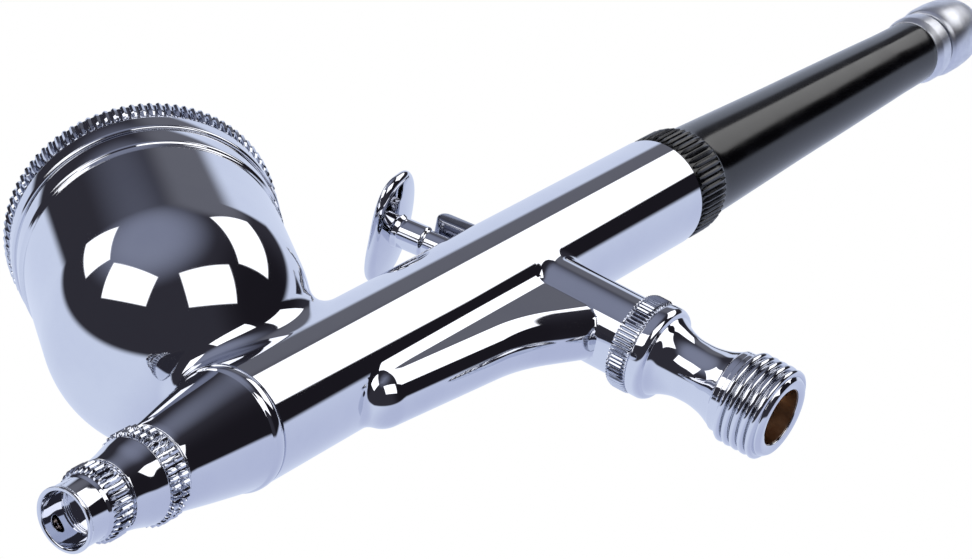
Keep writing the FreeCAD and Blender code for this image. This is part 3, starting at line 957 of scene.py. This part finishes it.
@dataclass
class Lid:
    """Push-on lid of the cup, with a beaded edge."""

    edge_r: float = 13.4
    bead_r: float = 13.65
    beads: int = 96
    top: float = 37.4
    plug_r: float = 12.1

    def build(self) -> None:
        """Build the piece."""
        base = CUP_RIM + 0.1
        dome = smooth_run([(12.9, self.top - 0.1), (11.0, self.top + 0.75), (7.0, self.top + 1.35),
                           (0.6, self.top + 1.6)])
        outline = [(0.6, base + 3.6), (self.plug_r - 0.8, base + 3.2), (self.plug_r - 0.8, base - 3),
                   (self.plug_r, base - 3), (self.plug_r, base), (self.edge_r - 0.15, base),
                   (self.edge_r, base + 0.2), (self.edge_r, base + 1.9), (self.edge_r - 0.2, base + 2.1),
                   (self.edge_r - 0.2, self.top - 0.4), *dome]
        piece = Piece("lid", "lid", ["cup_lid"], "chrome_plate")
        piece.add(turned(outline, 0.12), Finish.CHROME, CUP_AXIS)
        beads = knurl(self.beads, self.edge_r - 0.22, self.bead_r, base + 2.2, self.top - base - 2.6,
                      Finish.CHROME_TURNED, 0.42)
        piece.add(beads, Finish.CHROME_TURNED, CUP_AXIS)
        piece.done()


# ---- spray end ----------------------------------------------------------------------------------------
@dataclass
class SprayEnd:
    """Head, air cap and crown, stacked along the barrel's axis."""

    ring_r: float = 6.1
    head_tip: float = -57.0
    cap_tip: float = -62.8
    crown_tip: float = -65.9

    def build(self) -> None:
        """Build the three pieces."""
        self._head()
        self._cap()
        self._crown()

    def _head(self) -> None:
        """Build the tapered head and its ring."""
        cone = smooth_run([(4.2, -54.2), (5.06, -49.6), (5.84, -45.0)])
        ring = smooth_run([(5.86, -44.9), (6.04, -44.6), (self.ring_r, -44.2), (6.05, -43.75),
                           (5.8, BARREL_FRONT)])
        outline = [(1.5, self.head_tip), (3.0, self.head_tip), (3.0, -54.2), *cone, *ring,
                   (4.6, BARREL_FRONT), (4.6, -38.7), (1.0, -38.7), (1.0, -53), (1.5, -53)]
        piece = Piece("head", "airframe", ["spray_head"], "chrome_plate")
        piece.add(turned(outline, 0.12), Finish.CHROME, BARREL_AXIS)
        piece.done()

    def _cap(self) -> None:
        """Build the knurled air cap."""
        flank = smooth_run([(3.4, -60.35), (3.66, -58.9), (3.95, -57.8), (4.16, -56.95)])
        outline = [(0.75, self.cap_tip), (2.4, self.cap_tip), (2.4, -60.4), *flank, (4.0, -56.75),
                   (4.0, -54.45), (4.2, -54.4), (4.2, -54.25), (3.0, -54.25), (3.0, -57.6), (2.6, -58.6),
                   (0.75, -61.6)]
        piece = Piece("air_cap", "airframe", ["nozzle_cap"], "chrome_plate")
        piece.add(turned(outline, 0.08), Finish.CHROME, BARREL_AXIS)
        for start in (-56.75, -55.55):
            piece.add(knurl(38, 4.02, 4.5, start, 1.05, Finish.CHROME_TURNED, 0.4), Finish.CHROME_TURNED,
                      BARREL_AXIS)
        piece.done()

    def _crown(self) -> None:
        """Build the open crown round the needle's tip."""
        outline = [(2.65, self.crown_tip + 0.1), (2.8, self.crown_tip), (3.05, self.crown_tip),
                   (3.05, self.crown_tip + 0.3), (2.95, -65.4), (2.95, -63.4), (3.1, -63.1), (3.1, -60.4),
                   (2.4, -60.4), (2.4, -63.0), (2.65, -63.0)]
        piece = Piece("crown", "airframe", ["needle_cap"], "chrome_plate")
        piece.add(turned(outline, 0.06), Finish.CHROME, BARREL_AXIS)
        piece.add(knurl(34, 3.08, 3.55, -62.9, 2.3, Finish.CHROME_TURNED, 0.4), Finish.CHROME_TURNED,
                  BARREL_AXIS)
        piece.done()


# ---- trigger ------------------------------------------------------------------------------------------
@dataclass
class Trigger:
    """Finger lever with a saddle plate, and the rocker behind it."""

    top: float = AXIS_Z + 12.4
    half_x: float = 3.9
    half_y: float = 6.2
    thick: float = 1.1
    oblong: float = 2.6
    cheek: tuple[float, float] = (1.0, 1.9)

    def _saddle(self) -> bpy.types.Mesh:
        """Make the plate: a shallow dish with an oblong outline and a round rim.

        Returns:
            The plate's mesh.
        """
        rings, steps = 18, 128
        flat_share = 0.88
        points, faces = [], []
        for i in range(2 * rings + 1):
            turn = math.pi * i / (2 * rings)
            reach = math.sin(turn) ** 0.6
            edge = max(0.0, (reach - flat_share) / (1 - flat_share))
            lift = math.copysign(self.thick / 2 * math.sqrt(max(0.0, 1 - edge * edge)), math.cos(turn))
            for k in range(steps):
                angle = 2 * math.pi * k / steps
                x, y = (half * reach * math.copysign(abs(part) ** (2 / self.oblong), part)
                        for half, part in ((self.half_x, math.cos(angle)), (self.half_y, math.sin(angle))))
                middle = self.top + self.thick / 2 + x * x / 25 + y * y / 60
                points.append((x, y, middle + lift))
        for i in range(2 * rings):
            for k in range(steps):
                after = (k + 1) % steps
                row, below = i * steps, (i + 1) * steps
                faces.append((row + k, row + after, below + after, below + k))
        return raw_mesh("saddle", points, faces)

    def build(self) -> None:
        """Build the two pieces."""
        self._lever()
        self._rocker()

    def _lever(self) -> None:
        """Build the trigger: plate, collared stem, cheeks round the needle, and tang."""
        pivot = TRIGGER_PIVOT
        lean = Matrix.Translation(pivot) @ Matrix.Rotation(REST_LEAN, 4, "Y") @ Matrix.Translation(-pivot)
        stem = [(0, AXIS_Z + 5), (1.35, AXIS_Z + 5), (1.35, AXIS_Z + 9.2), (1.6, AXIS_Z + 9.45),
                (1.6, self.top - 0.4), (1.95, self.top + 0.35), (0, self.top + 0.4)]
        block_low, window_top, block_top = pivot.z + 2.9, AXIS_Z + 4.0, AXIS_Z + 5.4
        near, far = self.cheek
        side = [(-1.3, block_low), (1.3, block_low), (1.3, block_top), (-1.3, block_top)]
        bridge = [(-1.3, window_top), (1.3, window_top), (1.3, block_top), (-1.3, block_top)]
        foot = [(-1.3, block_low), (1.3, block_low), (1.3, block_low + 0.25), (-1.3, block_low + 0.25)]
        tang = [(1.1, pivot.z), (1.1, pivot.z + 3.1), (-1.1, pivot.z + 3.1),
                *disc_arc((0, pivot.z), 1.1, 180, 360)[:-1]]
        piece = Piece("finger_trigger", "trigger", ["trigger"], "chrome_plate")
        piece.add(self._saddle(), Finish.CHROME, lean)
        piece.add(turned(stem, 0.15, 64), Finish.CHROME, lean)
        for outline, low, high in ((side, near, far), (side, -far, -near), (bridge, -far, far),
                                   (foot, -far, far), (tang, -0.8, 0.8)):
            piece.add(slab(outline, low, high, 0.06), Finish.CHROME_TURNED, lean)
        piece.done()

    def _rocker(self) -> None:
        """Build the rocker: a rounded plate on two cheeks that reach down to its pin."""
        pin = LEVER_PIVOT
        lean = Matrix.Translation(pin) @ Matrix.Rotation(REST_LEAN, 4, "Y") @ Matrix.Translation(-pin)
        near, far = self.cheek
        nose = disc_arc((2.75, AXIS_Z + 9.6), 1.0, 0, 180)
        plate = [(1.75, AXIS_Z + 4.2), (3.75, AXIS_Z + 4.2), *nose]
        cheek = [(1.75, AXIS_Z + 4.3), (1.75, pin.z - 1), *disc_arc((pin.x, pin.z), 1.0, -90, 90),
                 (3.75, pin.z + 1), (3.75, AXIS_Z + 4.3)]
        piece = Piece("rocker", "auxiliary_lever", ["auxiliary_lever"], "chrome_trim")
        # The lever's nickel is darkened as painted shade, for the shadow it sits in behind the stem.
        piece.add(slab(plate, -far, far, 0.3), Finish.SHADE_DARKENED_NICKEL, lean)
        for low, high in ((near, far), (-far, -near)):
            piece.add(slab(cheek, low, high, 0.06), Finish.SHADE_DARKENED_NICKEL, lean)
        piece.done()


# ---- valve --------------------------------------------------------------------------------------------
@dataclass
class Valve:
    """Air valve under the boss, with its knurled flange, waist and threaded inlet."""

    crest_r: float = 4.864
    root_r: float = 4.28
    thread_length: float = 5.2
    pitch: float = 0.907
    bore_r: float = 3.0
    bore_depth: float = 5.5
    flange_r: float = 4.9
    flange_top: float = 17.6

    def build(self) -> None:
        """Build the piece, with a lining of bare brass in its bore."""
        waist = smooth_run([(4.1, 6.15), (3.5, 7.5), (3.17, 8.9), (3.1, 10.1), (3.2, 11.4), (3.62, 12.7),
                            (4.15, 13.55)])
        shoulder = smooth_run([(4.2, 13.65), (4.62, 13.8), (4.86, 14.2), (self.flange_r, 14.6)], 4)
        outline = [(self.bore_r, 0.12), (3.5, 0), (3.95, 0), (self.root_r, 0.4), (self.root_r, 5.35),
                   (4.25, 5.4), (4.25, 6.0), *waist, *shoulder, (self.flange_r, 15.15), (4.7, 15.35),
                   (4.7, 17.35), (4.6, self.flange_top), (3.4, self.flange_top), (3.4, 21), (2.3, 21),
                   (2.3, 14), (1.2, 14), (1.2, 11.5), (2.2, 11.5), (2.2, self.bore_depth),
                   (self.bore_r, self.bore_depth)]
        piece = Piece("valve", "airframe", ["valve_body"], "chrome_plate")
        piece.add(turned(outline, 0.1), Finish.CHROME)
        flange = knurl(72, 4.68, 5.02, 15.4, 2.1, Finish.CHROME_TURNED, 0.44)
        piece.add(flange, Finish.CHROME_TURNED)
        crest = self.pitch * 0.42
        turns = (self.thread_length - 2 * crest) / self.pitch
        thread = run_tree(THREAD, {"Pitch": self.pitch, "Turns": turns, "Radius": self.crest_r - crest,
                                   "Crest": crest}, Finish.CHROME)
        piece.add(thread, Finish.CHROME, Matrix.Translation((0, 0, crest + 0.1)))
        lining = [(self.bore_r - 0.04, 0.3), (self.bore_r + 0.03, 0.3), (self.bore_r + 0.03, 5.4),
                  (self.bore_r - 0.04, 5.4)]
        piece.add(turned(lining, 0), Finish.BRASS)
        piece.done()


# ---- handle -------------------------------------------------------------------------------------------
@dataclass
class Handle:
    """Black tapered handle, its end bush and the preset knob."""

    collar_r: float = 5.75
    ridge_r: float = 5.98
    ridges: int = 54
    rear: float = 86.0
    knob_end: float = 99.9

    def build(self) -> None:
        """Build the three pieces."""
        taper = smooth_run([(5.26, 34.3), (5.1, 40), (4.65, 54), (4.43, 63), (4.1, 75), (3.95, 80),
                            (3.85, self.rear)])
        outline = [(3.65, 23.5), (4.2, 23.5), (4.2, BARREL_REAR), (5.6, BARREL_REAR), (5.66, 28.2),
                   (5.66, 33), (5.3, 33.5), *taper, (2.6, self.rear), (2.6, 71), (2.9, 71), (2.9, 63),
                   (3.3, 63), (3.3, 41), (3.65, 41)]
        piece = Piece("grip", "airframe", ["handle"], "black_handle")
        piece.add(turned(outline, 0.15), Finish.LACQUER, BARREL_AXIS)
        collar = knurl(self.ridges, self.collar_r - 0.1, self.ridge_r, 28.25, 4.6, Finish.ANODISED, 0.44)
        piece.add(collar, Finish.ANODISED, BARREL_AXIS)
        piece.done()
        self._bush()
        self._knob()

    def _bush(self) -> None:
        """Build the plated ring on the handle's end."""
        outline = [(1.25, 78), (2.6, 78), (2.6, self.rear), (3.9, self.rear), (4.2, 87.1), (4.2, 89),
                   (3.9, 89.5), (1.25, 89.5)]
        piece = Piece("end_bush", "airframe", ["handle_bush"], "chrome_trim")
        piece.add(turned(outline, 0.12), Finish.CHROME_SATIN, BARREL_AXIS)
        piece.done()

    def _knob(self) -> None:
        """Build the domed preset knob."""
        dome = smooth_run([(4.45, 93.5), (4.25, 95.9), (3.75, 97.8), (2.9, 99.0), (1.7, 99.7),
                           (0, self.knob_end)])
        outline = [(1.2, 90), (3.9, 90), (4.2, 90.4), (4.45, 91.4), *dome, (0, 96), (1.2, 96)]
        piece = Piece("end_knob", "preset_knob", ["preset_knob"], "chrome_trim")
        piece.add(turned(outline, 0.12), Finish.CHROME_SATIN, BARREL_AXIS)
        piece.done()


# ---- inner pieces -------------------------------------------------------------------------------------
@dataclass
class Insides:
    """The frame's own inner pieces, which keep their shapes."""

    slots: Mapping[str, Finish]

    def dress(self) -> None:
        """Give every piece that is still shown from the frame its finish."""
        for name, node in frame["nodes"].items():
            if node.hide_render:
                continue
            slot = next(p["material_slot"] for p in frame["record"]["subparts"] if p["node"] == name)
            node.data.materials.clear()
            node.data.materials.append(PAINTS.get(self.slots[slot]))
            LOG.info("%s: kept from the frame, finished in %s", name, self.slots[slot].value.name)


SLOT_FINISHES = {"nickel_brass": Finish.BRASS, "stainless": Finish.STEEL, "spring_steel": Finish.SPRING,
                 "white_seal": Finish.PACKING, "rubber_seal": Finish.RUBBER,
                 "chrome_trim": Finish.CHROME_TURNED, "chrome_plate": Finish.CHROME,
                 "black_handle": Finish.LACQUER}


# ---- studio -------------------------------------------------------------------------------------------
@dataclass(frozen=True)
class SoftBox:
    """A bright rectangular panel far away, placed and sized in degrees as the object sees it."""

    azimuth: float
    height: float
    width: float
    tall: float
    roll: float

    def ways(self) -> list[Vector]:
        """Return the directions of the panel's four corners.

        Returns:
            Unit vectors, in order round the panel.
        """
        a, h, spin = (math.radians(v) for v in (self.azimuth, self.height, self.roll))
        centre = Vector((math.cos(h) * math.cos(a), math.cos(h) * math.sin(a), math.sin(h)))
        east = Vector((-math.sin(a), math.cos(a), 0))
        north = centre.cross(east)
        across = (east * math.cos(spin) + north * math.sin(spin)) * math.radians(self.width / 2)
        upward = (north * math.cos(spin) - east * math.sin(spin)) * math.radians(self.tall / 2)
        return [(centre + i * across + j * upward).normalized()
                for i, j in ((-1, 1), (1, 1), (1, -1), (-1, -1))]


@dataclass
class Studio:
    """Pale room with four soft boxes on the side that the camera stands on."""

    eye: tuple[float, float, float] = (-229.459, -148.624, -95.663)
    azimuth: float = 33.261
    climb: float = 25.513
    roll: float = 62.085
    lens: float = 111.11
    floor_drop: float = 0.3
    floor_reach: float = 3.0
    box_light: tuple[float, float, float, float] = (1.7, 1.7, 1.72, 1.0)
    boxes: tuple[SoftBox, ...] = (SoftBox(-138, 20, 28, 44, 12), SoftBox(-96, -32, 45, 33, -24),
                                  SoftBox(-40, -7, 28, 44, -12), SoftBox(-116, 65, 30, 22, 34))

    def build(self) -> None:
        """Build the room, the floor and the camera."""
        bpy.context.scene.view_settings.view_transform = "Standard"
        self._world()
        self._floor()
        self._camera()

    def _side(self, tree: bpy.types.NodeTree, way: bpy.types.NodeSocket, normal: Vector, start: float,
              end: float) -> bpy.types.NodeSocket:
        """Return a soft step from 0 to 1 as a direction crosses a plane.

        Args:
            tree: The world's tree.
            way: Direction that is looked along.
            normal: The plane's normal.
            start: Dot product at which the step starts.
            end: Dot product at which it is over.

        Returns:
            The step's socket.
        """
        dot = add_node(tree, "ShaderNodeVectorMath", {0: way, 1: normal}, operation="DOT_PRODUCT")
        step = add_node(tree, "ShaderNodeMapRange", {"Value": dot.outputs["Value"], "From Min": start,
                                                     "From Max": end}, interpolation_type="SMOOTHSTEP")
        return step.outputs["Result"]

    def _panel(self, tree: bpy.types.NodeTree, way: bpy.types.NodeSocket,
               box: SoftBox) -> bpy.types.NodeSocket:
        """Return 1 for directions inside a soft box and 0 outside it.

        Args:
            tree: The world's tree.
            way: Direction that is looked along.
            box: The soft box.

        Returns:
            The mask's socket.
        """
        corners = box.ways()
        middle = sum(corners, Vector())
        inside = None
        for first, second in zip(corners, corners[1:] + corners[:1]):
            normal = first.cross(second).normalized()
            if normal.dot(middle) < 0:
                normal = -normal
            side = self._side(tree, way, normal, -0.008, 0.014)
            inside = side if inside is None else add_node(tree, "ShaderNodeMath", {0: inside, 1: side},
                                                          operation="MINIMUM").outputs[0]
        return inside

    def _blend(self, tree: bpy.types.NodeTree, factor: bpy.types.NodeSocket, first: Tone,
               second: Tone) -> bpy.types.NodeSocket:
        """Return a mix of two colours."""
        mix = add_node(tree, "ShaderNodeMix", {0: factor, 6: first, 7: second}, data_type="RGBA")
        return mix.outputs[2]

    def _world(self) -> None:
        """Build the room: lavender paper on one side, a dark room and soft boxes on the other."""
        world = bpy.data.worlds.new("studio")
        bpy.context.scene.world = world
        world.use_nodes = True
        tree = world.node_tree
        way = add_node(tree, "ShaderNodeTexCoord").outputs["Generated"]
        shade = self._side(tree, way, Vector((0.612, -0.354, -0.707)), 0.55, 0.95)
        dark = self._blend(tree, shade, linear("#33323A"), linear("#1D1B21"))
        glow = self._side(tree, way, Vector((-0.1, -0.86, 0.5)), 0.68, 0.99)
        dark = self._blend(tree, glow, dark, linear("#858A9E"))
        haze = self._side(tree, way, Vector((0.76, -0.47, 0.45)), 0.93, 0.99)
        dark = self._blend(tree, haze, dark, linear("#6A6B74"))
        paper = self._blend(tree, self._side(tree, way, Vector((0.1, 0.6, -0.79)), 0.2, 1.0),
                            linear("#DAE3F8"), linear("#C2CAE6"))
        turn = self._side(tree, way, Vector((0.1, 0.98, -0.12)), -0.03, 0.07)
        over = self._side(tree, way, Vector((0.83, -0.02, 0.557)), 0.93, 0.96)
        turn = add_node(tree, "ShaderNodeMath", {0: turn, 1: over}, operation="MAXIMUM").outputs[0]
        room = self._blend(tree, turn, dark, paper)
        for box in self.boxes:
            room = self._blend(tree, self._panel(tree, way, box), room, self.box_light)
        seen = add_node(tree, "ShaderNodeLightPath").outputs["Is Camera Ray"]
        room = self._blend(tree, seen, room, (1.0, 1.0, 1.0, 1.0))
        tree.links.new(room, tree.nodes["Background"].inputs["Color"])

    def _floor(self) -> None:
        """Build a plain pale floor under the airbrush."""
        low, high = CAD_BOX
        middle, drop, reach = (low + high) / 2, low.z - self.floor_drop, self.floor_reach
        corners = [(middle.x + reach * a, middle.y + reach * b, drop)
                   for a, b in ((-1, -1), (1, -1), (1, 1), (-1, 1))]
        mesh = bpy.data.meshes.new("floor")
        mesh.from_pydata(corners, [], [(0, 1, 2, 3)])
        mesh.materials.append(Coat("matt_paper_sweep", "#F1F1F3", "#ECECEF", 0.8, 0.1, 0.0, 1.4, 300.0,
                                   3.0, 0.01).material())
        floor = bpy.data.objects.new("floor", mesh)
        bpy.context.scene.collection.objects.link(floor)
        floor.visible_glossy = False

    def _camera(self) -> None:
        """Set the camera up, rolled about its line of sight."""
        a, c = math.radians(self.azimuth), math.radians(self.climb)
        ahead = Vector((math.cos(c) * math.cos(a), math.cos(c) * math.sin(a), math.sin(c)))
        level = ahead.cross(Vector((0, 0, 1))).normalized()
        turn = Matrix.Rotation(math.radians(self.roll), 3, ahead)
        right, up = turn @ level, turn @ level.cross(ahead)
        camera = bpy.data.cameras.new("camera")
        camera.lens = self.lens
        camera.sensor_width = 36.0
        camera.clip_start = 0.01
        holder = bpy.data.objects.new("camera", camera)
        holder.matrix_world = Matrix.LocRotScale(Vector(self.eye) * MM,
                                                 Matrix((right, up, -ahead)).transposed(), None)
        bpy.context.scene.collection.objects.link(holder)
        bpy.context.scene.camera = holder


def main() -> None:
    """Build the airbrush piece by piece, then the studio."""
    logging.basicConfig(level=logging.INFO, format="%(message)s")
    for assembly in (BarrelAndCup(), Lid(), SprayEnd(), Trigger(), Valve(), Handle()):
        LOG.info("building %s", type(assembly).__name__)
        assembly.build()
    Insides(SLOT_FINISHES).dress()
    Studio().build()


if __name__ == "__main__":
    main()
